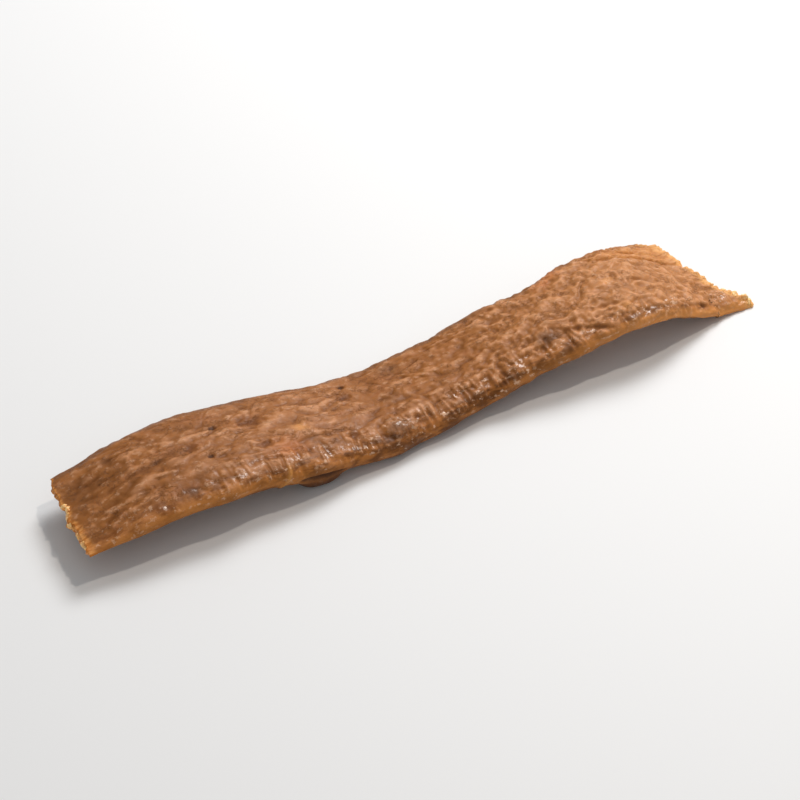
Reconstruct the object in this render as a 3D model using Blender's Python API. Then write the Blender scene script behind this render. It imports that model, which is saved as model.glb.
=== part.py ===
"""One strip of chicken jerky: a long, thin slice of dried breast meat that has warped into a gentle wave.

Lengths are metres and +Z is up. X runs along the strip, from its torn left end to its pointed right end, and
Y runs across it, from the thick front edge to the thin back edge. The strip lies on the plane Z = 0, on the
low part of its wave and on the tip of its right end. The origin is under the middle of its bounding box.
"""

import itertools
import math

import bmesh
import bpy
import numpy as np
from mathutils import Vector

MM = 0.001

# Driving dimensions
LENGTH = 140 * MM  # along the bent middle line
HALF_WIDTH = 12 * MM
THICKNESS = 5.9 * MM
WAVE_HEIGHT = 7.6 * MM  # rise of the right hump over the low part of the wave
END_SKEW = 1.7 * MM  # how far each corner of the left end stands off its square cut
TIP_REACH = 6.4 * MM  # how far the pointed front corner of the right end stands past the rest of that end
TIP_BEAK = 2.8 * MM  # how far the very tip stands out past that corner's slant
LEFT_CORNER = 0.7 * MM  # how far the rounded back corner of the left end stands back
RIGHT_CORNER = 2.4 * MM  # the same at the right end

# Torn flap under the front edge
FLAP_PLACE = 0.335  # as a fraction of the length
FLAP_REACH = 10.3 * MM  # from the middle line to the flap's centre
FLAP_HALF_LENGTH = 4.2 * MM
FLAP_HALF_WIDTH = 3 * MM
FLAP_DROP = 2.4 * MM  # how far it hangs down
FLAP_ROOT = 0.3  # how far below the middle line it hangs in full, as a share of the thickness

# Mesh density of the solid
RINGS = 104  # sections along the strip
TOP_POINTS = 23  # points of a section from its front edge over the top to its back edge
LINE_STEPS = 4001  # points where a curve is measured before it is divided evenly

# Curves along the strip, as (fraction of the length, value) stations. The height's stations run a little past
# both ends, because the skewed and ragged ends reach there.
HEIGHT = (  # of the middle line over its lowest point, as a share of WAVE_HEIGHT
    (-0.06, 0.35),
    (0.0, 0.44),
    (0.15, 0.68),
    (0.3, 0.42),
    (0.47, 0.0),
    (0.58, 0.16),
    (0.68, 0.46),
    (0.77, 0.72),
    (0.88, 0.86),
    (1.0, 0.09),
    (1.08, -0.14),
)
THICKNESS_SHARE = ((0, 0.3), (0.07, 0.8), (0.2, 1), (0.55, 1.04), (0.8, 0.92), (0.93, 0.66), (1, 0.34))
FRONT_SHARE = (
    (0, 0.95),
    (0.12, 1.04),
    (0.34, 1.11),
    (0.5, 1.01),
    (0.68, 0.93),
    (0.75, 0.95),
    (0.87, 1.1),
    (1, 1.02),
)
BACK_SHARE = ((0, 0.94), (0.17, 1.1), (0.35, 1.03), (0.5, 0.95), (0.72, 0.88), (0.84, 0.87), (1, 1))
ROLL_DEGREES = ((0, -1), (0.3, 0), (0.5, 0), (0.75, 1.5), (1, 7))  # a positive roll lifts the back edge
BOW = (  # of the middle line, towards +Y
    (0, 0.5 * MM),
    (0.25, 0),
    (0.47, -1.0 * MM),
    (0.62, -0.9 * MM),
    (0.8, -1.2 * MM),
    (1, 0.4 * MM),
)

# Section shape: a higher power gives a flatter middle and a rounder, blunter edge
FRONT_EDGE_POWER = 3.4
BACK_EDGE_POWER = 4.0
BACK_THINNING = 0.35  # of the thickness, lost towards the back edge
TOP_SHARE = 0.54  # of the thickness that lies over the middle line

# Places across the strip, from -1 at its front edge to 1 at its back edge
THINNING_START = -0.4
EDGE_BLEND = 0.6  # from this far to the front to this far to the back, one outline turns into the other
BEAK_START = -0.4
CORNER_START = 0.72

# Relief as (length of a lump along the strip, its width across, its height, random seed)
SWELLS = (17 * MM, 9 * MM, 0.42 * MM, 11)
LUMPS = (7.5 * MM, 4.6 * MM, 0.24 * MM, 23)
WRINKLES = (9.5 * MM, 2.7 * MM, 0.19 * MM, 37)
WRINKLE_DRIFT = 2.4 * MM  # how far a wrinkle wanders sideways
WRINKLE_SHARPNESS = 2.2
EDGE_WAVES = (10 * MM, 0.45 * MM, 41)  # length, depth and seed
END_NOTCHES = (3.4 * MM, 0.75 * MM, 53)
END_CROWN = 0.5 * MM  # how far the middle of each cut face stands out
END_FADE = 22 * MM  # length over which an end's skew and notches fade out

NOISE_GAIN = 1.6  # brings the noise's highest peaks to about 1

# Places in the noise, so that the two edges and the two ends differ
FRONT_EDGE, BACK_EDGE = 0.0, 7.3
LEFT_END, RIGHT_END = 0.0, 5.3

SINK = 0.75 * MM  # how deep the strip has settled into its own flat resting spots

MEAT_COLOUR = (0.30, 0.125, 0.045, 1.0)
MEAT_ROUGHNESS = 0.42


def smooth_curve(stations, fraction):
    """The value at each fraction of a smooth curve through (fraction, value) stations."""
    x, y = np.array(stations).T
    slope = np.gradient(y, x)
    fraction = np.clip(fraction, x[0], x[-1])
    i = np.clip(np.searchsorted(x, fraction, side="right") - 1, 0, len(x) - 2)
    step = x[i + 1] - x[i]
    u = (fraction - x[i]) / step
    from_left = (1 + 2 * u) * y[i] + u * step * slope[i]
    from_right = (3 - 2 * u) * y[i + 1] - (1 - u) * step * slope[i + 1]
    return (1 - u) ** 2 * from_left + u**2 * from_right


def ease(low, high, x):
    """0 below low, 1 above high and a smooth step between them."""
    u = np.clip((x - low) / (high - low), 0, 1)
    return u * u * (3 - 2 * u)


def lattice_noise(points, seed):
    """Smooth noise from about -1 to 1 with lumps one unit across: a random slope at each lattice point."""
    cell = np.floor(points).astype(np.int64)
    inside = points - cell
    blend = inside**3 * (inside * (inside * 6 - 15) + 10)
    total = np.zeros(len(points))
    for corner in itertools.product((0, 1), repeat=3):
        at = (cell + corner).astype(np.uint64)
        mixed = at * np.array([73856093, 19349663, 83492791], dtype=np.uint64)
        key = mixed[:, 0] ^ mixed[:, 1] ^ mixed[:, 2]
        key = (key + np.uint64(seed * 2654435761)) * np.uint64(0x9E3779B97F4A7C15)
        key ^= key >> np.uint64(31)
        key *= np.uint64(0xBF58476D1CE4E5B9)
        turn = (key >> np.uint64(40)).astype(float) / 2**24 * math.tau
        rise = (key >> np.uint64(16) & np.uint64(0xFFFFFF)).astype(float) / 2**23 - 1
        flat = np.sqrt(1 - rise**2)
        offset = inside - corner
        slope = offset[:, 0] * flat * np.cos(turn) + offset[:, 1] * flat * np.sin(turn) + offset[:, 2] * rise
        share = np.where(corner, blend, 1 - blend).prod(axis=1)
        total += slope * share
    return total * NOISE_GAIN


def grid_noise(x, y, z, seed):
    """The noise over a grid of places, given as three arrays or numbers."""
    x, y, z = np.broadcast_arrays(x, y, z)
    return lattice_noise(np.column_stack([x.ravel(), y.ravel(), z.ravel()]), seed).reshape(x.shape)


def half_section(count, aspect):
    """(across, height) of a section's upper half, as shares of its half size, evenly spaced along it."""
    turn = np.linspace(math.pi, 0, LINE_STEPS)
    power = np.where(turn > math.pi / 2, FRONT_EDGE_POWER, BACK_EDGE_POWER)
    across = np.sign(np.cos(turn)) * np.abs(np.cos(turn)) ** (2 / power)
    height = np.sin(turn)
    run = np.concatenate([[0], np.hypot(np.diff(across), np.diff(height) * aspect).cumsum()])
    at = np.linspace(0, run[-1], count)
    return np.interp(at, run, across), np.interp(at, run, height)


def middle_line():
    """Length along the strip, and the middle line's points there, at closely spaced steps past both ends."""
    along = np.linspace(HEIGHT[0][0], HEIGHT[-1][0], LINE_STEPS) * LENGTH
    height = WAVE_HEIGHT * smooth_curve(HEIGHT, along / LENGTH)
    bow = smooth_curve(BOW, along / LENGTH)
    step = np.diff(along)
    run = np.sqrt(step**2 - np.diff(height) ** 2 - np.diff(bow) ** 2)
    return along, np.column_stack([np.concatenate([[0], run.cumsum()]), bow, height])


def unit(vectors):
    return vectors / np.linalg.norm(vectors, axis=-1, keepdims=True)


def frame_at(along):
    """The middle line's point at each length, with the directions across the strip and out of its top."""
    table, points = middle_line()
    slope = np.gradient(points, table, axis=0)
    point = np.stack([np.interp(along, table, column) for column in points.T], axis=-1)
    forward = unit(np.stack([np.interp(along, table, column) for column in slope.T], axis=-1))
    level = unit(np.cross([0, 0, 1], forward))
    upward = np.cross(forward, level)
    roll = np.radians(smooth_curve(ROLL_DEGREES, along / LENGTH))[..., None]
    across = np.cos(roll) * level + np.sin(roll) * upward
    outward = np.cos(roll) * upward - np.sin(roll) * level
    return point, across, outward


def edge_wave(along, side):
    """How far an edge stands out at each length. side is a number that tells the front edge from the back."""
    length, depth, seed = EDGE_WAVES
    return depth * grid_noise(along / length, side, 0, seed)


def end_shift(fraction, across):
    """How far along the strip each point near an end moves, for the end's skew, round corner and notches."""
    length, depth, seed = END_NOTCHES
    place = across * HALF_WIDTH / length
    notch_left = depth * grid_noise(place, LEFT_END, 0, seed)
    notch_right = depth * grid_noise(place, RIGHT_END, 0, seed)
    corner = ease(CORNER_START, 1, across) ** 2
    at_left = END_SKEW * across + notch_left + LEFT_CORNER * corner
    at_right = TIP_REACH * (0.5 - 0.5 * across) + notch_right - RIGHT_CORNER * corner
    at_right = at_right + TIP_BEAK * ease(BEAK_START, -1, across)
    near_left = 1 - ease(0, END_FADE, fraction * LENGTH)
    near_right = 1 - ease(0, END_FADE, (1 - fraction) * LENGTH)
    return at_left * near_left + at_right * near_right


def relief(along, across, height):
    """How deep the skin sinks at each point of the unbent strip: swells, lumps and long wrinkles."""
    total = 0
    for length, width, depth, seed in (SWELLS, LUMPS):
        total = total + depth * grid_noise(along / length, across / width, height / width, seed)
    length, width, depth, seed = WRINKLES
    drift = WRINKLE_DRIFT * grid_noise(along / length, across / length, height / width, seed + 1)
    ridge = grid_noise(along / length, (across + drift) / width, height / width, seed)
    return total + depth * (1 - WRINKLE_SHARPNESS * np.abs(ridge))


def flap(along, across, height):
    """The torn flap that hangs under the front edge, as a bulge of the underside."""
    reach_along = (along - FLAP_PLACE * LENGTH) / FLAP_HALF_LENGTH
    reach_across = (across + FLAP_REACH) / FLAP_HALF_WIDTH
    under = ease(0, -FLAP_ROOT * THICKNESS, height)
    return FLAP_DROP * np.exp(-(reach_along**4) - reach_across**2) * under


def skin(rings, top_points):
    """Points of the strip's skin. Each of its rings runs from the front edge over the top and back below."""
    over, rise = half_section(top_points, THICKNESS / (2 * HALF_WIDTH))
    share = np.concatenate([over, over[-2:0:-1]])[None, :]
    lift = np.concatenate([rise, -rise[-2:0:-1]])[None, :]
    fraction = np.linspace(0, 1, rings)[:, None] * np.ones_like(share)
    along = fraction * LENGTH
    front = HALF_WIDTH * smooth_curve(FRONT_SHARE, fraction) + edge_wave(along, FRONT_EDGE)
    back = HALF_WIDTH * smooth_curve(BACK_SHARE, fraction) + edge_wave(along, BACK_EDGE)
    half_width = front + (back - front) * ease(-EDGE_BLEND, EDGE_BLEND, share)
    thinning = BACK_THINNING * ease(THINNING_START, 1, share)
    thick = THICKNESS * smooth_curve(THICKNESS_SHARE, fraction) * (1 - thinning)
    across = share * half_width
    height = lift * thick * np.where(lift > 0, TOP_SHARE, 1 - TOP_SHARE)
    along = along + end_shift(fraction, share)
    point, side, out = frame_at(along)
    smooth = point + across[..., None] * side + height[..., None] * out
    inward = inward_normals(smooth)
    thin = np.clip(thick / THICKNESS, 0, 1)
    grown = smooth + (relief(along, across, height) * thin)[..., None] * inward
    return grown - flap(along, across, height)[..., None] * np.array([0, 0, 1])


def inward_normals(points):
    """Normals of a grid of rings that point into the strip."""
    lengthwise = np.gradient(points, axis=0)
    around = np.roll(points, -1, axis=1) - np.roll(points, 1, axis=1)
    return unit(np.cross(around, lengthwise))


def settle(points):
    """The points moved onto Z = 0, with what would reach below it pressed flat, and centred in X and Y."""
    low, high = points.min(axis=(0, 1)), points.max(axis=(0, 1))
    points = points - [(low[0] + high[0]) / 2, (low[1] + high[1]) / 2, low[2] + SINK]
    points[..., 2] = np.maximum(points[..., 2], 0)
    return points


def close_end(mesh, ring, top_points, outward):
    """Closes an end by a seam of points halfway between its top and its underside, a little outward."""
    top = ring[1 : top_points - 1]
    under = ring[:top_points - 1:-1]
    seam = [mesh.verts.new((a.co + b.co) / 2 + outward) for a, b in zip(top, under, strict=True)]
    upper = [ring[0], *top, ring[top_points - 1]]
    lower = [ring[0], *under, ring[top_points - 1]]
    middle = [ring[0], *seam, ring[top_points - 1]]
    for i in range(top_points - 1):
        for outer in (upper, lower):
            corners = list(dict.fromkeys([outer[i], outer[i + 1], middle[i + 1], middle[i]]))
            mesh.faces.new(corners)


def strip_mesh(points, top_points):
    """A closed mesh over rings of skin points."""
    mesh = bmesh.new()
    rings = [[mesh.verts.new(point) for point in ring] for ring in points]
    count = len(rings[0])
    for first, second in itertools.pairwise(rings):
        for i in range(count):
            j = (i + 1) % count
            mesh.faces.new((first[i], second[i], second[j], first[j]))
    close_end(mesh, rings[0], top_points, Vector((-END_CROWN, 0, 0)))
    close_end(mesh, rings[-1], top_points, Vector((END_CROWN, 0, 0)))
    bmesh.ops.recalc_face_normals(mesh, faces=mesh.faces)
    return mesh


def meat_material():
    material = bpy.data.materials.new("dried_meat")
    material.use_nodes = True
    shader = material.node_tree.nodes["Principled BSDF"]
    shader.inputs["Base Color"].default_value = MEAT_COLOUR
    shader.inputs["Roughness"].default_value = MEAT_ROUGHNESS
    shader.inputs["Metallic"].default_value = 0.0
    return material


def main():
    for leftover in list(bpy.data.objects):
        bpy.data.objects.remove(leftover, do_unlink=True)
    mesh = bpy.data.meshes.new("jerky_strip")
    body = strip_mesh(settle(skin(RINGS, TOP_POINTS)), TOP_POINTS)
    body.to_mesh(mesh)
    body.free()
    mesh.shade_smooth()
    mesh.materials.append(meat_material())
    strip = bpy.data.objects.new("jerky_strip", mesh)
    bpy.context.scene.collection.objects.link(strip)


main()
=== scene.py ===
"""The looks of a strip of chicken jerky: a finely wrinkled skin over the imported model's form, and its finish.

Lengths are metres and +Z is up. The strip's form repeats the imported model's own curves. On top of them this
script adds the puffs, creases, pits and torn ends that are too fine for the solid.
"""

import itertools
import math
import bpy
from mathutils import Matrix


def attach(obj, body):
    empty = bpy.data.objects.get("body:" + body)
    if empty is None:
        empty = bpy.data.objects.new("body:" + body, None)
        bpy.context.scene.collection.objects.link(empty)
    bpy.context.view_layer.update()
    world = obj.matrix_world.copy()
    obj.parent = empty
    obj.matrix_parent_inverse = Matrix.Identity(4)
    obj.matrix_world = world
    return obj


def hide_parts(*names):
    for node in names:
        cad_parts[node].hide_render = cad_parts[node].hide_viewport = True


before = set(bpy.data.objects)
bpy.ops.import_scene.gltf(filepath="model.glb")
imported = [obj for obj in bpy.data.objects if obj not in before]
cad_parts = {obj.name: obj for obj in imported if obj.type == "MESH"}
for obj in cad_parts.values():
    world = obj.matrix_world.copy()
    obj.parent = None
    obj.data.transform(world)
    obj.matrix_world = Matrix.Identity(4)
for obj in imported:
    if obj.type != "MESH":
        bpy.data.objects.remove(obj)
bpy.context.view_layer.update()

from types import SimpleNamespace

import bmesh
import bpy
import numpy as np
from mathutils import Vector

MM = 0.001

# Driving dimensions of the solid
LENGTH = 140 * MM  # along the bent middle line
HALF_WIDTH = 12 * MM
THICKNESS = 5.9 * MM
WAVE_HEIGHT = 7.6 * MM
END_SKEW = 1.7 * MM
TIP_REACH = 6.4 * MM
TIP_BEAK = 2.8 * MM
LEFT_CORNER = 0.7 * MM
RIGHT_CORNER = 2.4 * MM
SINK = 0.75 * MM  # how deep the strip has settled into its resting spots

# Torn flap under the front edge
FLAP_PLACE = 0.335  # as a fraction of the length
FLAP_REACH = 10.3 * MM
FLAP_HALF_LENGTH = 4.2 * MM
FLAP_HALF_WIDTH = 3 * MM
FLAP_DROP = 2.4 * MM
FLAP_ROOT = 0.3  # how far below the middle line it hangs in full, as a share of the thickness

# Curves along the strip, as (fraction of the length, value) stations
HEIGHT = (
    (-0.06, 0.35),
    (0.0, 0.44),
    (0.15, 0.68),
    (0.3, 0.42),
    (0.47, 0.0),
    (0.58, 0.16),
    (0.68, 0.46),
    (0.77, 0.72),
    (0.88, 0.86),
    (1.0, 0.09),
    (1.08, -0.14),
)
THICKNESS_SHARE = ((0, 0.3), (0.07, 0.8), (0.2, 1), (0.55, 1.04), (0.8, 0.92), (0.93, 0.66), (1, 0.34))
FRONT_SHARE = (
    (0, 0.95),
    (0.12, 1.04),
    (0.34, 1.11),
    (0.5, 1.01),
    (0.68, 0.93),
    (0.75, 0.95),
    (0.87, 1.1),
    (1, 1.02),
)
BACK_SHARE = ((0, 0.94), (0.17, 1.1), (0.35, 1.03), (0.5, 0.95), (0.72, 0.88), (0.84, 0.87), (1, 1))
ROLL_DEGREES = ((0, -1), (0.3, 0), (0.5, 0), (0.75, 1.5), (1, 7))
BOW = (
    (0, 0.5 * MM),
    (0.25, 0),
    (0.47, -1.0 * MM),
    (0.62, -0.9 * MM),
    (0.8, -1.2 * MM),
    (1, 0.4 * MM),
)

# Section shape
FRONT_EDGE_POWER = 3.4
BACK_EDGE_POWER = 4.0
BACK_THINNING = 0.35  # of the thickness, lost towards the back edge
TOP_SHARE = 0.54
NOISE_GAIN = 1.6

# Places across the strip, from -1 at its front edge to 1 at its back edge
THINNING_START = -0.4
EDGE_BLEND = 0.6
BEAK_START = -0.4
CORNER_START = 0.72
LINE_STEPS = 4001  # points where a curve is measured before it is divided evenly

# Relief of the solid as (length of a lump along the strip, its width across, its depth, random seed)
SWELLS = (17 * MM, 9 * MM, 0.42 * MM, 11)
LUMPS = (7.5 * MM, 4.6 * MM, 0.24 * MM, 23)
WRINKLES = (9.5 * MM, 2.7 * MM, 0.19 * MM, 37)
WRINKLE_DRIFT = 2.4 * MM
WRINKLE_SHARPNESS = 2.2
EDGE_WAVES = (10 * MM, 0.45 * MM, 41)
END_NOTCHES = (3.4 * MM, 0.75 * MM, 53)
END_FADE = 22 * MM
FRONT_EDGE, BACK_EDGE = 0.0, 7.3
LEFT_END, RIGHT_END = 0.0, 5.3

# Mesh density of the skin
RINGS = 600
TOP_POINTS = 105  # of a ring, from the front edge over the top to the back edge
UNDER_POINTS = 53  # of a ring's underside, both edges counted: one for every two on top
CUT_ROWS = 9  # rows of points down each cut end

# Fine relief that stands out, as (length along the grain, width across it, height, random seed)
PILLOWS = (4.6 * MM, 3.4 * MM, 0.13 * MM, 61)
PUFFS = (5.2 * MM, 4.2 * MM, 0.15 * MM, 67)
BUMPS = (2.6 * MM, 2.0 * MM, 0.18 * MM, 69)
CRINKLES = (1.4 * MM, 1.15 * MM, 0.17 * MM, 71)
CREPE = (0.8 * MM, 0.7 * MM, 0.06 * MM, 75)
FLUTES = (1.2 * MM, 6 * MM, 0.22 * MM, 105)  # short ridges over the front edge
THIN_RIDGES = (4.2 * MM, 2.8 * MM, 0.10 * MM, 77)
RIDGE_SHARPNESS = 0.14  # of the noise's range that lies under a thin ridge
RIDGE_PATCHES = (-0.2, 0.5)  # of the rough patches' noise, where the thin ridges start and are in full
CALM_FRONT = 0.55  # share of the fine relief that the front face lacks
FRONT_PULL = 0.15 * MM  # how far the front face lies behind the solid
STRENGTH_LEFT, STRENGTH_ADDED = 0.55, 1.1  # of the fine relief at the left end, and more towards the right
FLUTE_SHARPNESS = 2.2
PILLOW_RISE, PILLOW_ROUNDING = 1.7, 0.7  # how steeply a soft lump rises from its fold, and how round it is
ROUGH_CONTRAST = 0.35  # how much stronger or weaker the fine relief is from patch to patch
GRAIN_TURN = (26 * MM, 0.2, 73)  # size of the patches where the grain runs askew, its slope there, and seed
GRAIN_DRIFT = (6 * MM, 0.7 * MM, 79)  # size and reach of the bends in the grain, and seed
ROUGH_PATCHES = (13 * MM, 8 * MM, 83)  # size of the patches where the fine relief is stronger, and seed

# Ragged ends, as (width of a tooth, its length, reach along the strip, random seed)
FRINGE = (1.2 * MM, 0.5 * MM, 2.2 * MM, 91)
KNOBS = (1.2 * MM, 1.1 * MM, 0.45 * MM, 99)  # lumps along the right rim, as a fine relief
KNOBS_REACH = 2.2 * MM
TIP_SWELL, TIP_SWELL_REACH = 0.6 * MM, 5 * MM  # how much thicker the blunt tip is, and along what length

# Short creases scattered over the top
CREASE_COUNT = 170
CREASE_SEED = 5
CREASE_FIRST, CREASE_LAST = (4, -9), (134, 10)  # least and greatest (place along, place across) in mm
CREASE_LENGTH, CREASE_TURN, CREASE_BEND = (2, 6.5), 0.42, 0.5  # lengths in mm, turn in radians
CREASE_WIDTH, CREASE_DEPTH = (0.18, 0.34), (0.05, 0.16)  # in mm
CREASE_START, CREASE_END = (-0.05, 0.25), (1.05, 0.75)  # where it fades in and out, in lengths

# Creases placed one by one, as (start along, start across, end along, end across, bend, width, depth) in mm
CREASES = (
    (122, 10.8, 138, 7.0, -0.8, 0.45, 0.4),
    (118, 10.6, 130, 8.4, -0.6, 0.4, 0.36),
    (116, 8.4, 126, 4.2, -0.8, 0.35, 0.16),
    (106, -6.6, 114, -11.2, 0.2, 0.5, 0.45),
    (112, -5.0, 118, -6.8, 0.3, 0.32, 0.24),
    (112.5, -0.8, 116.5, 3.4, 0.5, 0.35, 0.36),
    (121, -1.5, 128, -4.5, 0.8, 0.4, 0.32),
    (71, 4.6, 78, -1.0, 0.5, 0.26, 0.16),
    (72, 5.4, 79, -0.2, 0.5, 0.26, 0.14),
    (79, 8.4, 93, 5.8, 0.4, 0.26, 0.18),
    (80, 7.3, 92, 4.9, 0.4, 0.26, 0.16),
    (11, 7.2, 18, 6.2, 0.2, 0.3, 0.2),
    (2, 3.2, 11, 4.2, 0.4, 0.5, 0.2),
    (2, 0.6, 13, 1.4, -0.3, 0.4, 0.16),
)

# Fold along the right rim as (place along, place across) in mm, with a lower, golden layer behind it
FOLD = (
    (116, 11.5), (119.2, 9.4), (121.5, 7.7), (124.2, 6.4), (129, 5.9), (132.8, 5.7), (135.8, 4.8), (141, 2.5),
)
FOLD_HALF_WIDTH, FOLD_DEPTH, FOLD_STEP = 0.5 * MM, 0.55 * MM, 0.1 * MM
FOLD_BLEND = (-0.2 * MM, 0.4 * MM)  # how far behind the fold its lower layer starts and is in full

# Kinds of mark: how deep they sink in mm (negative stands out), how dark they are (negative is golden), and
# how warm, grey and wet
MARK_LOOKS = {
    "pit": (0.35, 0.8, 0.0, 0.0, 0.0),
    "hollow": (0.35, 0.3, 0.1, 0.0, 0.0),
    "stain": (0.08, 0.32, 0.0, 0.0, 0.0),
    "blister": (-0.6, 0.55, 0.0, 0.0, 1.0),
    "grey_patch": (0.1, 0.5, 0.0, 0.2, 0.0),
    "faint_patch": (0.05, 0.05, 0.0, 0.35, 0.0),
    "rosy_patch": (-0.2, 0.0, 0.45, 0.0, 0.0),
    "golden_patch": (-0.05, -0.5, 0.5, 0.0, 0.4),
}

# Marks on the top as (kind, place along, place across, radius), in mm. Places across run from -12 at the
# front edge to +12 at the back edge.
MARKS = (
    ("pit", 32.5, 4.8, 0.6),
    ("pit", 28, -3.3, 0.5),
    ("pit", 62, 7.5, 0.45),
    ("hollow", 40, 3.5, 1.9),
    ("hollow", 39, -4.2, 1.1),
    ("hollow", 60.5, 3.9, 1.2),
    ("hollow", 26, 0.6, 1.0),
    ("hollow", 56, -7.7, 0.9),
    ("stain", 19, 0.4, 0.7),
    ("stain", 5.5, 3.5, 3.5),
    ("stain", 12, 7, 1.3),
    ("stain", 68.5, -1.5, 1.5),
    ("stain", 52, -8, 0.7),
    ("blister", 65, -9.2, 1.7),
    ("grey_patch", 101.2, -6.1, 1.7),
    ("grey_patch", 21, -9.8, 1.1),
    ("faint_patch", 73, 7, 1.6),
    ("rosy_patch", 42.5, -6.6, 2.4),
    ("rosy_patch", 112.5, 9.4, 1.6),
    ("rosy_patch", 109, 7.8, 1.3),
    ("golden_patch", 47, -2.4, 1.2),
    ("golden_patch", 118, -8, 0.7),
    ("golden_patch", 119, -0.2, 0.9),
)

# Shape of the marks
MARK_WAVES = (0.7, 0.6, 0.45, 87)  # of their limit: size along and across, reach, and seed
MARK_STRETCH, MARK_SHARPNESS = 1.35, 2.5  # how much longer a mark is than wide, and how sharply it ends

# Strand of fat that crosses the front edge at a slant
STRAND_PLACE = 38.8 * MM
STRAND_SLANT = 0.6
STRAND_HALF_WIDTH = 0.42 * MM
STRAND_HEIGHT = 0.25 * MM
STRAND_LOWEST, STRAND_FULL = -0.45 * THICKNESS, -0.25 * THICKNESS  # from the middle line

# Where details start and are in full: across a section (-1 to 1 from its front edge to its back edge), up it
# (-1 to 1 from the underside to the top) or along the strip (0 to 1)
TOP_UP = (-0.3, 0.2)
STRENGTH_ALONG = (0.5, 0.8)
CALM_ACROSS, CALM_UP = (-0.84, -0.96), (0.75, 0.2)
PULL_ACROSS, PULL_ALONG = (-0.86, -0.97), (0.06, 0.2)
FLUTES_ACROSS, FLUTES_EDGE = (-0.45, -0.65), (-1, -0.92)
FLUTES_UP, FLUTES_ALONG = (-0.4, 0.3), (0.05, 0.3)
TIP_ACROSS, TIP_UP = (-0.5, -0.85), (-0.5, 0.2)
CREVICE_ACROSS, STRAND_ACROSS = (-0.8, -0.9), (-0.75, -0.9)
ROLL_OFF_ACROSS, ROLL_OFF_UP = (-0.5, -0.78), (-0.3, 0.25)  # the shoulder between the top and the front face
FRONT_ACROSS, BACK_ACROSS = (-0.72, -0.88), (0.8, 0.92)
LIP_ACROSS, LIP_ALONG = (-0.84, -0.92), (0.72, 0.86)
LOW_ACROSS, LOW_UP = (-0.8, -0.95), (0.75, 0.25)  # the front face's lower half
MIDDLE_START, MIDDLE_END = (0.26, 0.4), (0.75, 0.6)
UNDER_UP = (-0.7, 0.1)
LEFT_ALONG, RIGHT_ALONG, WET_ALONG = (0.12, 0.32), (0.55, 0.9), (0.2, 0.4)

# Soft limits of the looks
RAGGED_LIMIT = (4 * MM, 2 * MM, 0.07, 101)  # size of its waves along and across, their reach, and seed
DAMP_PATCHES = (5 * MM, 2.4 * MM, 103)  # size of the damp patches along and across, and seed
DAMP_STATIONS = (-0.25, 0.3)  # of that noise, from dry to damp
DAMP_LEFT = 0.6  # share of the damp that the left end has
RIM_WIDTH, RIM_RAGGED = 2.2 * MM, 8 * MM
TORN_NARROWEST, TORN_MIDDLE, TORN_SLANT = 0.3, 1.2, 1.4  # width of the torn left rim, in mm
TORN_RAGGED = 4 * MM
LOW_LESS = 0.75  # share of the lower front face's gold that the middle of the strip lacks
HOLLOW_REACHES = ((3, 0.06), (7, 0.11), (16, 0.04))  # neighbours to each side, and the weight of each reach

# Rough face of the cut ends, as (width of a lump, its height down the cut, its strength)
CUT_COARSE, CUT_FINE = (1.3 * MM, 0.9 * MM, 0.5), (0.6 * MM, 0.5 * MM, 0.6)
CUT_BULGE, CUT_ROUNDING = 0.25, 0.6  # how far the middle stands out, in mm, and how round it is
CUT_FULL = 1.6 * MM  # thickness from which a cut end has its full bulge

# Crevice between the front edge and the flap below it
CREVICE_HEIGHT = -0.5 * MM  # from the middle line
CREVICE_HALF_WIDTH = 0.35 * MM
CREVICE_DEPTH = 0.9 * MM
CREVICE_HALF_LENGTH = 1.15 * FLAP_HALF_LENGTH
CREVICE_SHADE, FLAP_SHADE = 1.5, 1.6  # how soon the painted shade in the crevice and on the flap is at its darkest

# Crumbs on the left end and on the tip, as (place across in mm, share of the way down, radius in mm)
CRUMBS_LEFT = (
    (2.4, 0.15, 0.6),
    (1.6, 0.3, 0.65),
    (0.9, 0.15, 0.5),
    (0.0, 0.4, 0.65),
    (-0.8, 0.5, 0.5),
    (-2.3, 0.4, 0.6),
    (-3.0, 0.6, 0.5),
    (-5.2, 0.45, 0.6),
    (-6.2, 0.3, 0.35),
    (-7.8, 0.45, 0.6),
    (-8.8, 0.6, 0.4),
)
CRUMBS_TIP = (
    (-10.4, 0.35, 0.85),
    (-9.4, 0.2, 0.8),
    (-8.0, 0.25, 0.9),
    (-6.3, 0.3, 0.7),
    (-4.2, 0.3, 0.8),
    (-11.2, 0.55, 0.6),
)
CRUMBS_RIGHT = (26, -11.5, -1.0)  # how many, and how far to the front and to the back, in mm
CRUMB_SMALLEST, CRUMB_LARGEST = 0.25 * MM, 0.5 * MM
CRUMB_SEED = 17
CRUMB_DOWN = (0.1, 0.8)  # least and greatest share of the way down the cut
CRUMB_SQUASH = (0.75, 1.25)  # least and most of each side of a crumb, as a share of its radius
CRUMB_ROUGHNESS = ((1.3, 0.32), (3.1, 0.12))  # how fine its bumps are, and how high, for each size of bump

FLOOR_SIZE = 3.0
FLOOR_ROUGHNESS = 0.6

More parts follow.
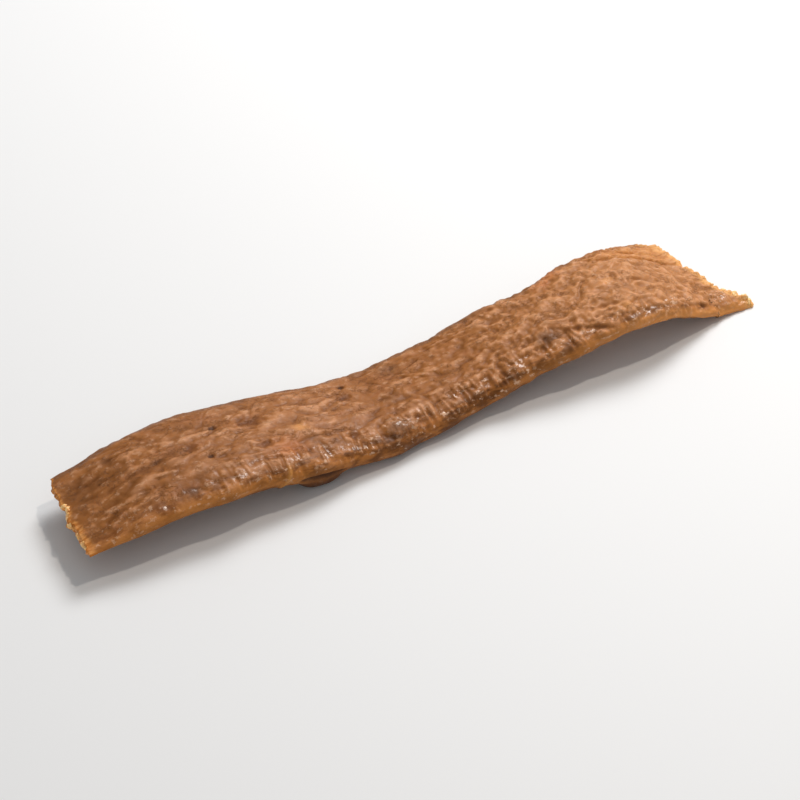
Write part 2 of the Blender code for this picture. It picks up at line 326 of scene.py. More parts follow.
# Screen colours of 0 to 255
COLOURS = {
    "brown": (156, 98, 48),
    "light_brown": (162, 102, 50),
    "rosy_brown": (172, 110, 74),
    # painted shade in the hollows, besides their own deeper amber
    "hollow_shade_brown": (108, 58, 8),
    # painted sheen on the ridges, besides their own paler tone
    "ridge": (212, 152, 108),
    "dark_brown": (120, 68, 14),
    # painted light: the right end and its hump are paler, as the key lamp lights them more
    "painted_light_right": (218, 152, 96),
    # painted shade: the left end is a little darker, as if it had less light
    "painted_shade_left": (132, 80, 40),
    "left_patch": (112, 66, 24),
    "deep_amber": (74, 36, 8),
    "deep_amber_left": (116, 64, 24),
    "light_amber": (178, 112, 54),
    "light_amber_left": (190, 124, 68),
    "low_gold": (204, 132, 58),
    # painted shade in the fine wrinkles
    "line": (90, 46, 6),
    # painted highlights: small pale flecks on the ridges
    "fleck_highlight": (230, 184, 148),
    # painted glints along the damp shoulder
    "painted_glint": (238, 198, 166),
    # painted shade: tones down the back edge where the key lamp catches it
    "back": (118, 80, 54),
    "deep_gold": (196, 118, 44),
    "bright_gold": (236, 164, 92),
    "lip": (222, 150, 84),
    # the right end's pale torn rim, partly its own colour and partly a painted glow of light through its thin
    # edge
    "rim": (248, 186, 116),
    "fat": (206, 142, 70),
    "under": (112, 66, 30),
    # painted shadow on the flap that hangs under the front edge
    "flap": (74, 40, 16),
    "warm": (206, 124, 70),
    "grey": (82, 60, 46),
    # dark colour of the marks, and the painted shade in the crevice over the flap
    "dark": (54, 24, 10),
    "golden": (226, 164, 96),
    "crumb": (246, 172, 88),
    "pale_crumb": (255, 214, 150),
    "floor": (235, 236, 237),
}

# Values of the shaders that are the same all over
MEAT_FINISH = {
    "Subsurface Weight": 0.06,
    "Subsurface Radius": (1.0, 0.42, 0.2),
    "Subsurface Scale": 0.8 * MM,
    "Specular IOR Level": 0.17,
    "Coat Roughness": 0.17,
}
CRUMB_FINISH = {
    "Subsurface Weight": 0.2,
    "Subsurface Radius": (1.0, 0.5, 0.25),
    "Subsurface Scale": 0.5 * MM,
}

# Lamps as (name, direction from the strip, distance, size, power in watts, colour)
LAMPS = (
    ("key", (0.58, 0.42, 0.7), 0.7, 0.3, 3.9, (1, 1, 1)),
    ("sparkle", (0.42, 0.0, 0.9), 0.6, 0.03, 0.7, (1, 0.88, 0.76)),
    ("front_fill", (-0.8, -0.5, 0.35), 0.8, 0.5, 0.55, (1, 1, 1)),
)
WORLD_STRENGTH = 0.32

CAMERA_AZIMUTH = -32.68
CAMERA_ELEVATION = 40.0
CAMERA_DISTANCE = 0.65
CAMERA_LENS, CAMERA_SENSOR = 153.3, 36.0  # in mm
CAMERA_NEAREST = 0.01
CAMERA_TARGET = (-0.0012, 0.0, 0.0017)


def smooth_curve(stations, fraction):
    """The value at each fraction of a smooth curve through (fraction, value) stations."""
    x, y = np.array(stations).T
    slope = np.gradient(y, x)
    fraction = np.clip(fraction, x[0], x[-1])
    i = np.clip(np.searchsorted(x, fraction, side="right") - 1, 0, len(x) - 2)
    step = x[i + 1] - x[i]
    u = (fraction - x[i]) / step
    from_left = (1 + 2 * u) * y[i] + u * step * slope[i]
    from_right = (3 - 2 * u) * y[i + 1] - (1 - u) * step * slope[i + 1]
    return (1 - u) ** 2 * from_left + u**2 * from_right


def ease(low, high, x):
    """0 below low, 1 above high and a smooth step between them."""
    u = np.clip((x - low) / (high - low), 0, 1)
    return u * u * (3 - 2 * u)


def lattice_key(cell, seed):
    """A large, well mixed number for each lattice point."""
    mixed = cell.astype(np.uint64) * np.array([73856093, 19349663, 83492791], dtype=np.uint64)
    key = mixed[:, 0] ^ mixed[:, 1] ^ mixed[:, 2]
    key = (key + np.uint64(seed * 2654435761)) * np.uint64(0x9E3779B97F4A7C15)
    key ^= key >> np.uint64(31)
    return key * np.uint64(0xBF58476D1CE4E5B9)


def lattice_noise(points, seed):
    """Smooth noise from about -1 to 1 with lumps one unit across: a random slope at each lattice point."""
    cell = np.floor(points).astype(np.int64)
    inside = points - cell
    blend = inside**3 * (inside * (inside * 6 - 15) + 10)
    total = np.zeros(len(points))
    for corner in itertools.product((0, 1), repeat=3):
        key = lattice_key(cell + corner, seed)
        turn = (key >> np.uint64(40)).astype(float) / 2**24 * math.tau
        rise = (key >> np.uint64(16) & np.uint64(0xFFFFFF)).astype(float) / 2**23 - 1
        flat = np.sqrt(1 - rise**2)
        offset = inside - corner
        slope = offset[:, 0] * flat * np.cos(turn) + offset[:, 1] * flat * np.sin(turn) + offset[:, 2] * rise
        share = np.where(corner, blend, 1 - blend).prod(axis=1)
        total += slope * share
    return total * NOISE_GAIN


def grid_noise(x, y, z, seed):
    """The noise over a grid of places, given as three arrays or numbers."""
    x, y, z = np.broadcast_arrays(x, y, z)
    return lattice_noise(np.column_stack([x.ravel(), y.ravel(), z.ravel()]), seed).reshape(x.shape)


def half_section(count, aspect):
    """(across, height) of a section's upper half, as shares of its half size, evenly spaced along it."""
    turn = np.linspace(math.pi, 0, LINE_STEPS)
    power = np.where(turn > math.pi / 2, FRONT_EDGE_POWER, BACK_EDGE_POWER)
    across = np.sign(np.cos(turn)) * np.abs(np.cos(turn)) ** (2 / power)
    height = np.sin(turn)
    run = np.concatenate([[0], np.hypot(np.diff(across), np.diff(height) * aspect).cumsum()])
    at = np.linspace(0, run[-1], count)
    return np.interp(at, run, across), np.interp(at, run, height)


def middle_line():
    """Length along the strip, and the middle line's points there, at closely spaced steps past both ends."""
    along = np.linspace(HEIGHT[0][0], HEIGHT[-1][0], LINE_STEPS) * LENGTH
    height = WAVE_HEIGHT * smooth_curve(HEIGHT, along / LENGTH)
    bow = smooth_curve(BOW, along / LENGTH)
    step = np.diff(along)
    run = np.sqrt(step**2 - np.diff(height) ** 2 - np.diff(bow) ** 2)
    return along, np.column_stack([np.concatenate([[0], run.cumsum()]), bow, height])


def unit(vectors):
    return vectors / np.linalg.norm(vectors, axis=-1, keepdims=True)


def frame_at(along):
    """The middle line's point at each length, with the directions across the strip and out of its top."""
    table, points = middle_line()
    slope = np.gradient(points, table, axis=0)
    point = np.stack([np.interp(along, table, column) for column in points.T], axis=-1)
    forward = unit(np.stack([np.interp(along, table, column) for column in slope.T], axis=-1))
    level = unit(np.cross([0, 0, 1], forward))
    upward = np.cross(forward, level)
    roll = np.radians(smooth_curve(ROLL_DEGREES, along / LENGTH))[..., None]
    across = np.cos(roll) * level + np.sin(roll) * upward
    outward = np.cos(roll) * upward - np.sin(roll) * level
    return point, across, outward


def edge_wave(along, side):
    """How far an edge stands out at each length. side is a number that tells the front edge from the back."""
    length, depth, seed = EDGE_WAVES
    return depth * grid_noise(along / length, side, 0, seed)


def end_shift(fraction, across):
    """How far along the strip each point near an end moves, for the end's skew, round corner and notches."""
    length, depth, seed = END_NOTCHES
    place = across * HALF_WIDTH / length
    notch_left = depth * grid_noise(place, LEFT_END, 0, seed)
    notch_right = depth * grid_noise(place, RIGHT_END, 0, seed)
    corner = ease(CORNER_START, 1, across) ** 2
    at_left = END_SKEW * across + notch_left + LEFT_CORNER * corner
    at_right = TIP_REACH * (0.5 - 0.5 * across) + notch_right - RIGHT_CORNER * corner
    at_right = at_right + TIP_BEAK * ease(BEAK_START, -1, across)
    near_left = 1 - ease(0, END_FADE, fraction * LENGTH)
    near_right = 1 - ease(0, END_FADE, (1 - fraction) * LENGTH)
    return at_left * near_left + at_right * near_right


def fringe(fraction, across, lift):
    """How far the teeth of the ragged ends reach past them."""
    width, depth, reach, seed = FRINGE
    place = across * HALF_WIDTH / width
    left = depth * grid_noise(place, LEFT_END, 0.8 * lift, seed)
    fine_teeth = 0.6 * grid_noise(2.3 * place, RIGHT_END, lift, seed)
    right = depth * (grid_noise(place, RIGHT_END, 0.8 * lift, seed) + fine_teeth)
    near_left = 1 - ease(0, reach, fraction * LENGTH)
    near_right = 1 - ease(0, reach, (1 - fraction) * LENGTH)
    return left * near_left + right * near_right


def relief(along, across, height):
    """How deep the skin sinks at each point of the unbent strip: swells, lumps and long wrinkles."""
    total = 0
    for length, width, depth, seed in (SWELLS, LUMPS):
        total = total + depth * grid_noise(along / length, across / width, height / width, seed)
    length, width, depth, seed = WRINKLES
    drift = WRINKLE_DRIFT * grid_noise(along / length, across / length, height / width, seed + 1)
    ridge = grid_noise(along / length, (across + drift) / width, height / width, seed)
    return total + depth * (1 - WRINKLE_SHARPNESS * np.abs(ridge))


def flap(along, across, height):
    """The torn flap that hangs under the front edge, as a bulge of the underside."""
    reach_along = (along - FLAP_PLACE * LENGTH) / FLAP_HALF_LENGTH
    reach_across = (across + FLAP_REACH) / FLAP_HALF_WIDTH
    under = ease(0, -FLAP_ROOT * THICKNESS, height)
    return FLAP_DROP * np.exp(-(reach_along**4) - reach_across**2) * under


def inward_normals(points):
    """Normals of a grid of rings that point into the strip."""
    lengthwise = np.gradient(points, axis=0)
    around = np.roll(points, -1, axis=1) - np.roll(points, 1, axis=1)
    return unit(np.cross(around, lengthwise))


def grain(along, across, height):
    """Places along and across the meat's grain, which wanders and turns from patch to patch."""
    size, slope, seed = GRAIN_TURN
    turned = across + slope * size / math.pi * grid_noise(along / size, across / size, height / size, seed)
    size, reach, seed = GRAIN_DRIFT
    bend_along = reach * grid_noise(along / size, across / size, height / size, seed)
    bend_across = reach * grid_noise(along / size, across / size, height / size, seed + 1)
    return along + bend_along, turned + bend_across


def cell_gap(points, seed):
    """How much nearer the nearest of scattered centres is than the second nearest: 0 where two cells meet."""
    cell = np.floor(points).astype(np.int64)
    nearest = np.full(len(points), 9.0)
    second = np.full(len(points), 9.0)
    for corner in itertools.product((-1, 0, 1), repeat=3):
        at = cell + corner
        key = lattice_key(at, seed)
        parts = [(key >> np.uint64(shift) & np.uint64(0xFFFF)).astype(float) / 2**16 for shift in (8, 24, 40)]
        away = np.linalg.norm(at + np.column_stack(parts) - points, axis=1)
        second = np.minimum(second, np.maximum(nearest, away))
        nearest = np.minimum(nearest, away)
    return second - nearest


def pillows(on, off, height, size):
    """Soft lumps with narrow folds where they meet, from 0 in a fold to 1 on a lump."""
    length, width, depth, seed = size
    place = np.stack([on / length, off / width, height / width], axis=-1).reshape(-1, 3)
    return np.minimum(1, PILLOW_RISE * cell_gap(place, seed)).reshape(on.shape) ** PILLOW_ROUNDING


def fine_relief(along, across, height):
    """How far the fine wrinkles stand out at each point."""
    on, off = grain(along, across, height)
    length, width, seed = ROUGH_PATCHES
    patch = grid_noise(along / length, across / width, height / width, seed)
    total = PILLOWS[2] * (pillows(on, off, height, PILLOWS) - 0.5)
    for length, width, depth, seed in (PUFFS, BUMPS, CRINKLES, CREPE):
        total = total + depth * grid_noise(on / length, off / width, height / width, seed)
    length, width, depth, seed = THIN_RIDGES
    line = grid_noise(on / length, off / width, height / width, seed) / RIDGE_SHARPNESS
    return (total + depth * np.exp(-(line**2)) * ease(*RIDGE_PATCHES, patch)) * (1 + ROUGH_CONTRAST * patch)


def all_creases():
    """The placed creases and the scattered ones, all in metres."""
    draw = np.random.default_rng(CREASE_SEED)
    rows = [[value * MM for value in row] for row in CREASES]
    for _ in range(CREASE_COUNT):
        start = draw.uniform(CREASE_FIRST, CREASE_LAST)
        length, turn = draw.uniform(*CREASE_LENGTH), draw.normal(0.0, CREASE_TURN)
        end = start + length * np.array([math.cos(turn), math.sin(turn)])
        bend = draw.normal(0, CREASE_BEND)
        width, depth = draw.uniform(*CREASE_WIDTH), draw.uniform(*CREASE_DEPTH)
        rows.append([value * MM for value in (*start, *end, bend, width, depth)])
    return rows


def creases(along, across, is_top):
    """How deep the creases sink at each point."""
    sink = np.zeros(along.shape)
    for start_along, start_across, end_along, end_across, bend, width, depth in all_creases():
        chord = np.array([end_along - start_along, end_across - start_across])
        length = np.linalg.norm(chord)
        way = chord / length
        on = ((along - start_along) * way[0] + (across - start_across) * way[1]) / length
        off = (across - start_across) * way[0] - (along - start_along) * way[1]
        off = off - 4 * bend * on * (1 - on)
        inside = ease(*CREASE_START, on) * ease(*CREASE_END, on)
        sink = np.maximum(sink, depth * inside * np.exp(-((off / width) ** 2)))
    return sink * is_top


def marks(along, across, is_top):
    """(how far the marks sink, how dark, warm, grey and wet they are) at each point."""
    total = np.zeros((5, *along.shape))
    length, width, reach, seed = MARK_WAVES
    for kind, mark_along, mark_across, radius in MARKS:
        size = radius * MM
        ragged = 1 + reach * grid_noise(along / (length * size), across / (width * size), 0, seed)
        near = np.hypot((along - mark_along * MM) / MARK_STRETCH, across - mark_across * MM) / (size * ragged)
        share = np.exp(-(near**MARK_SHARPNESS)) * is_top
        total += np.array(MARK_LOOKS[kind])[:, None, None] * share
    total[0] *= MM
    return total


def behind_fold(along, across, is_top):
    """(how far the fold sinks the skin, how golden it is behind the fold) at each point."""
    places = np.array(FOLD) * MM
    behind = across - np.interp(along, places[:, 0], places[:, 1])
    start = ease(places[0, 0], places[1, 0], along) * is_top
    layer = ease(*FOLD_BLEND, behind) * start
    groove = FOLD_DEPTH * np.exp(-((behind / FOLD_HALF_WIDTH) ** 2)) * start
    return groove + FOLD_STEP * layer, layer


def crevice(along, share, height):
    """The crevice over the flap, darkened with painted shade, from 0 beside it to 1 in its depth."""
    off = (height - CREVICE_HEIGHT) / CREVICE_HALF_WIDTH
    on = (along - FLAP_PLACE * LENGTH) / CREVICE_HALF_LENGTH
    return np.exp(-(off**2) - on**6) * ease(*CREVICE_ACROSS, share)


def strand(along, share, height):
    """The strand of fat across the front edge, from 0 beside it to 1 on its crest."""
    off = along - STRAND_PLACE - STRAND_SLANT * height
    ends = ease(STRAND_LOWEST, STRAND_FULL, height)
    return np.exp(-((off / STRAND_HALF_WIDTH) ** 2)) * ease(*STRAND_ACROSS, share) * ends


def blurred(values, reach_along, reach_around):
    """Each value averaged with its neighbours on the rings before and after, and around its own ring."""
    for axis, reach, edges in ((0, reach_along, "edge"), (1, reach_around, "wrap")):
        padding = [(0, 0), (0, 0)]
        padding[axis] = (reach + 1, reach)
        total = np.moveaxis(np.pad(values, padding, mode=edges).cumsum(axis=axis), axis, 0)
        span = 2 * reach + 1
        values = np.moveaxis((total[span:] - total[:-span]) / span, 0, axis)
    return values


def hollows(stand):
    """How deep each point lies among its neighbours: 0 on a ridge, 0.5 on even skin and 1 in a fold."""
    total = 0
    for reach, share in HOLLOW_REACHES:
        deep = blurred(blurred(stand, reach, reach), reach, reach) - stand
        total = total + share * deep / deep.std()
    return np.clip(0.5 + total, 0, 1)


def strip_form():
    """The rings of the form without fine relief, and where each of their points lies on the strip."""
    aspect = THICKNESS / (2 * HALF_WIDTH)
    over, rise = half_section(TOP_POINTS, aspect)
    under, fall = half_section(UNDER_POINTS, aspect)
    share = np.concatenate([over, under[-2:0:-1]])[None, :]
    lift = np.concatenate([rise, -fall[-2:0:-1]])[None, :]
    fraction = np.linspace(0, 1, RINGS)[:, None] * np.ones_like(share)
    along = fraction * LENGTH
    front = HALF_WIDTH * smooth_curve(FRONT_SHARE, fraction) + edge_wave(along, FRONT_EDGE)
    back = HALF_WIDTH * smooth_curve(BACK_SHARE, fraction) + edge_wave(along, BACK_EDGE)
    half_width = front + (back - front) * ease(-EDGE_BLEND, EDGE_BLEND, share)
    thinning = BACK_THINNING * ease(THINNING_START, 1, share)
    thick = THICKNESS * smooth_curve(THICKNESS_SHARE, fraction) * (1 - thinning)
    across = share * half_width
    height = lift * thick * np.where(lift > 0, TOP_SHARE, 1 - TOP_SHARE)
    along = along + end_shift(fraction, share)
    point, side, out = frame_at(along + fringe(fraction, share, lift))
    smooth = point + across[..., None] * side + height[..., None] * out
    thin = np.clip(thick / THICKNESS, 0, 1)
    coarse = relief(along, across, height) * thin
    form = smooth + coarse[..., None] * inward_normals(smooth)
    drop = flap(along, across, height)
    form = form - drop[..., None] * np.array([0, 0, 1])
    low, high = form.min(axis=(0, 1)), form.max(axis=(0, 1))
    form = form - [(low[0] + high[0]) / 2, (low[1] + high[1]) / 2, low[2] + SINK]
    at = SimpleNamespace(fraction=fraction, share=share, lift=lift, along=along, across=across, height=height)
    at.thin, at.coarse, at.drop = thin, coarse, drop
    at.from_left, at.from_right = fraction * LENGTH, (1 - fraction) * LENGTH
    at.is_top = ease(*TOP_UP, lift) * np.ones_like(fraction)
    return form, at


def flutes(at):
    """How far the short ridges over the front edge stand out at each point."""
    length, width, depth, seed = FLUTES
    shoulder = ease(*FLUTES_ACROSS, at.share) * ease(*FLUTES_EDGE, at.share)
    shoulder = shoulder * ease(*FLUTES_UP, at.lift) * ease(*FLUTES_ALONG, at.fraction)
    flute = grid_noise(at.along / length, at.across / width, at.height / width, seed)
    return depth * shoulder * (1 - FLUTE_SHARPNESS * np.abs(flute))


def knobs(at):
    """How far the lumps along the right rim stand out at each point."""
    near = 1 - ease(0.2 * KNOBS_REACH, KNOBS_REACH, at.from_right)
    return KNOBS[2] * near * (pillows(at.along, at.across, at.height, KNOBS) - 0.5)


def tip_swell(at):
    """How far the blunt tip stands out at each point."""
    near = 1 - ease(0.1 * TIP_SWELL_REACH, TIP_SWELL_REACH, at.from_right)
    return TIP_SWELL * (ease(*TIP_ACROSS, at.share) * near) * ease(*TIP_UP, at.lift)


def skin_relief(at, sink, fat, gap):
    """How far the skin stands out from the form at each point."""
    calm = 1 - CALM_FRONT * ease(*CALM_ACROSS, at.share) * ease(*CALM_UP, at.lift)
    strong = STRENGTH_LEFT + STRENGTH_ADDED * ease(*STRENGTH_ALONG, at.fraction)
    fine = fine_relief(at.along, at.across, at.height) * np.clip(2 * at.thin, 0, 1) * calm * strong - sink
    fine = fine - FRONT_PULL * ease(*PULL_ACROSS, at.share) * ease(*PULL_ALONG, at.fraction)
    fine = fine + flutes(at)
    fine = fine + STRAND_HEIGHT * fat - CREVICE_DEPTH * gap
    return fine + knobs(at) + tip_swell(at)


def place_looks(at):
    """The looks that depend only on a point's place on the strip, with ragged limits."""
    length, width, reach, seed = RAGGED_LIMIT
    ragged = reach * grid_noise(at.along / length, at.across / width, at.height / width, seed)
    length, width, seed = DAMP_PATCHES
    patchy = grid_noise(at.along / length, at.across / width, at.height / width, seed)
    roll_off = ease(*ROLL_OFF_ACROSS, at.share + 2 * ragged) * ease(*ROLL_OFF_UP, at.lift)
    damp = DAMP_LEFT + (1 - DAMP_LEFT) * ease(*WET_ALONG, at.fraction)
    in_middle = ease(*MIDDLE_START, at.fraction) * ease(*MIDDLE_END, at.fraction)
    low = ease(*LOW_UP, at.lift) * ease(*LOW_ACROSS, at.share + ragged)
    torn_width = np.maximum(TORN_NARROWEST, TORN_MIDDLE - TORN_SLANT * at.share) * MM
    return {
        "front": ease(*FRONT_ACROSS, at.share + ragged),
        "wet": roll_off * ease(*DAMP_STATIONS, patchy) * damp,
        # rim: the pale torn rim, partly its own colour and partly a painted glow through the thin edge
        "rim": 1 - ease(0, RIM_WIDTH, at.from_right + RIM_RAGGED * ragged),
        "torn": 1 - ease(0, torn_width, at.from_left + TORN_RAGGED * ragged),
        # back: where painted shade tones down the lit back edge
        "back": ease(*BACK_ACROSS, at.share),
        "lip": ease(*LIP_ALONG, at.fraction) * ease(*LIP_ACROSS, at.share),
        # flap: where the painted shadow under the front edge goes
        "flap": np.clip(FLAP_SHADE * at.drop / FLAP_DROP, 0, 1),
        "low": low * (1 - LOW_LESS * in_middle),
        "under": 1 - ease(*UNDER_UP, at.lift) * np.ones_like(at.fraction),
        "left": 1 - ease(*LEFT_ALONG, at.fraction),
        "right": ease(*RIGHT_ALONG, at.fraction),
        "along": at.along,
        "across": at.across,
    }


def skin():
    """The skin's points as rings along the strip, with a number at each point for each look."""
    form, at = strip_form()
    sink, dark, warm, grey, wet = marks(at.along, at.across, at.is_top)
    fold_sink, fold = behind_fold(at.along, at.across, at.is_top)
    sink = sink + creases(at.along, at.across, at.is_top) + fold_sink
    fat = strand(at.along, at.share, at.height)
    gap = crevice(at.along, at.share, at.height)
    fine = skin_relief(at, sink, fat, gap)
    points = form - fine[..., None] * inward_normals(form)
    points[..., 2] = np.maximum(points[..., 2], 0)

    looks = place_looks(at)
    # the hollow map also places the painted shade in the folds and the painted sheen on the ridges
    looks["hollow"] = hollows(fine - at.coarse)
    # painted shade in the crevice over the flap, added to the marks' own darkness
    looks["dark"] = np.clip(dark + CREVICE_SHADE * gap, -1, 1)
    looks["warm"] = np.clip(warm, 0, 1)
    looks["grey"] = np.clip(grey, 0, 1)
    looks["wet"] = np.clip(looks["wet"] + wet, 0, 1)
    looks["fold"] = fold
    looks["fat"] = fat
    return points, looks


def cut_end(top_points, low_points, outward, seed):
    """Rows of points down a cut end, from its top to its underside, whose rough face stands out."""
    at, known = np.arange(TOP_POINTS) / 2, np.arange(UNDER_POINTS)
    low_points = np.stack([np.interp(at, known, column) for column in low_points.T], axis=-1)
    gap = np.linalg.norm(top_points - low_points, axis=1)
    rows = []
    for row in range(1, CUT_ROWS + 1):
        down = row / (CUT_ROWS + 1)
        place = top_points * (1 - down) + low_points * down
        across, depth = place[:, 1], gap * down
        rough = grid_noise(across / CUT_COARSE[0], depth / CUT_COARSE[1], 0, seed)
        rough = rough + CUT_FINE[2] * grid_noise(across / CUT_FINE[0], depth / CUT_FINE[1], 0, seed + 1)
        crown = math.sin(math.pi * down) ** CUT_ROUNDING
        bulge = crown * (CUT_BULGE + CUT_COARSE[2] * rough) * MM * np.clip(gap / CUT_FULL, 0, 1)
        rows.append(place + (outward * bulge)[:, None] * np.array([1, 0, 0]))
    return rows


def build_mesh(name, points, looks):
    """One closed mesh over the rings, with its ends shut, and the looks as point attributes."""
    rings, count = points.shape[:2]
    index = np.arange(rings * count).reshape(rings, count)
    first, second = index[:-1], index[1:]
    following = np.roll(index, -1, axis=1)
    quads = np.stack([first, second, following[1:], following[:-1]], axis=-1).reshape(-1, 4)
    faces = [tuple(quad) for quad in quads.tolist()]
    verts = points.reshape(-1, 3)
    values = {key: np.broadcast_to(value, points.shape[:2]).reshape(-1) for key, value in looks.items()}
    for ring, outward, seed in ((0, -1, 93), (rings - 1, 1, 97)):
        top = index[ring, :TOP_POINTS]
        low = np.concatenate([top[:1], index[ring, :TOP_POINTS - 1:-1], top[-1:]])
        rows = [top]
        for place in cut_end(verts[top], verts[low], outward, seed):
            inner = np.arange(len(verts), len(verts) + TOP_POINTS - 2)
            verts = np.concatenate([verts, place[1:-1]])
            for key, value in values.items():
                values[key] = np.concatenate([value, value[top[1:-1]]])
            rows.append(np.concatenate([top[:1], inner, top[-1:]]))
        rows.append(np.concatenate([np.repeat(low[:-1], 2), low[-1:]]))
        for upper, lower in itertools.pairwise(rows):
            for i in range(TOP_POINTS - 1):
                loop = (upper[i], upper[i + 1], lower[i + 1], lower[i])
                corners = tuple(dict.fromkeys(int(corner) for corner in loop))
                if len(corners) > 2:
                    faces.append(corners if outward < 0 else corners[::-1])
    mesh = bpy.data.meshes.new(name)
    mesh.from_pydata(verts.tolist(), [], faces)
    mesh.validate()
    for key, value in values.items():
        mesh.attributes.new(key, "FLOAT", "POINT").data.foreach_set("value", value.astype(np.float32))
    mesh.shade_smooth()
    piece = bpy.data.objects.new(name, mesh)
    bpy.context.scene.collection.objects.link(piece)
    return piece


def shade(name):
    """The shader colour of that name, from its screen values."""
    linear = [((c / 255 + 0.055) / 1.055) ** 2.4 if c > 10 else c / 255 / 12.92 for c in COLOURS[name]]
    return (*linear, 1.0)


class Shader:
    """Short calls that add nodes to one material."""

    def __init__(self, name):
        self.material = bpy.data.materials.new(name)
        self.material.use_nodes = True
        self.tree = self.material.node_tree
        self.main = self.tree.nodes["Principled BSDF"]

    def set_all(self, values):
        for name, value in values.items():
            self.main.inputs[name].default_value = value

    def plug(self, value, socket):
        if isinstance(value, bpy.types.NodeSocket):
            self.tree.links.new(value, socket)
        else:
            socket.default_value = value

    def attribute(self, name):
        node = self.tree.nodes.new("ShaderNodeAttribute")
        node.attribute_name = name
        return node.outputs["Fac"]

    def math(self, operation, *values):
        node = self.tree.nodes.new("ShaderNodeMath")
        node.operation = operation
        for value, socket in zip(values, node.inputs):
            self.plug(value, socket)
        return node.outputs[0]

    def remap(self, value, low, high, to_low=0.0, to_high=1.0):
        node = self.tree.nodes.new("ShaderNodeMapRange")
        node.interpolation_type = "SMOOTHSTEP"
        for name, number in (("From Min", low), ("From Max", high), ("To Min", to_low), ("To Max", to_high)):
            node.inputs[name].default_value = number
        self.plug(value, node.inputs["Value"])
        return node.outputs[0]

    def mix(self, factor, first, second):
        node = self.tree.nodes.new("ShaderNodeMix")
        node.data_type = "RGBA"
        self.plug(factor, node.inputs[0])
        self.plug(first, node.inputs[6])
        self.plug(second, node.inputs[7])
        return node.outputs[2]

    def tint(self, colour, where, strength, tint):
        """The colour, tinted that much where an attribute or another factor says."""
        if isinstance(where, str):
            where = self.attribute(where)
        return self.mix(self.math("MULTIPLY", where, strength), colour, tint)

    def grain_place(self):
        """Place on the unbent strip in metres: along, across and up."""
        node = self.tree.nodes.new("ShaderNodeCombineXYZ")
        self.plug(self.attribute("along"), node.inputs[0])
        self.plug(self.attribute("across"), node.inputs[1])
        coordinates = self.tree.nodes.new("ShaderNodeTexCoord")
        split = self.tree.nodes.new("ShaderNodeSeparateXYZ")
        self.plug(coordinates.outputs["Object"], split.inputs[0])
        self.plug(split.outputs[2], node.inputs[2])
        return node.outputs[0]

    def noise(self, place, length, width, detail=3.0, roughness=0.55, distortion=0.0):
        """Noise from 0 to 1 with lumps of that length along the strip and width across it, in metres."""
        scale = self.tree.nodes.new("ShaderNodeVectorMath")
        scale.operation = "MULTIPLY"
        self.plug(place, scale.inputs[0])
        scale.inputs[1].default_value = (1 / length, 1 / width, 1 / width)
        node = self.tree.nodes.new("ShaderNodeTexNoise")
        self.plug(scale.outputs[0], node.inputs["Vector"])
        node.inputs["Scale"].default_value = 1.0
        node.inputs["Detail"].default_value = detail
        node.inputs["Roughness"].default_value = roughness
        node.inputs["Distortion"].default_value = distortion
        return node.outputs["Fac"]

    def bump(self, height, distance, after=None):
        node = self.tree.nodes.new("ShaderNodeBump")
        node.inputs["Distance"].default_value = distance
        self.plug(height, node.inputs["Height"])
        if after is not None:
            self.plug(after, node.inputs["Normal"])
        return node.outputs[0]


def broken_lines(s, place):
    """Fine wrinkles darkened with painted shade, from 0 beside them to 1 in them: where a noise passes its
    middle, in patches.
    """
    wave = s.noise(place, 2.0 * MM, 1.4 * MM, detail=4, roughness=0.6, distortion=0.5)
    line = s.remap(s.math("ABSOLUTE", s.math("SUBTRACT", wave, 0.5)), 0.03, 0.0)
    patch = s.noise(place, 5 * MM, 3.6 * MM, detail=3)
    on_top = s.math("SUBTRACT", 1.0, s.attribute("front"))
    return s.math("MULTIPLY", s.math("MULTIPLY", line, s.remap(patch, 0.44, 0.56)), on_top)


def painted_highlight_flecks(s, place):
    """Painted highlights: small pale flecks on the skin's ridges, from 0 to 1."""
    grains = s.noise(place, 1.3 * MM, 1.0 * MM, detail=2.5, roughness=0.6)
    on_ridge = s.remap(s.attribute("hollow"), 0.56, 0.4)
    return s.math("MULTIPLY", s.remap(grains, 0.55, 0.64), on_ridge)


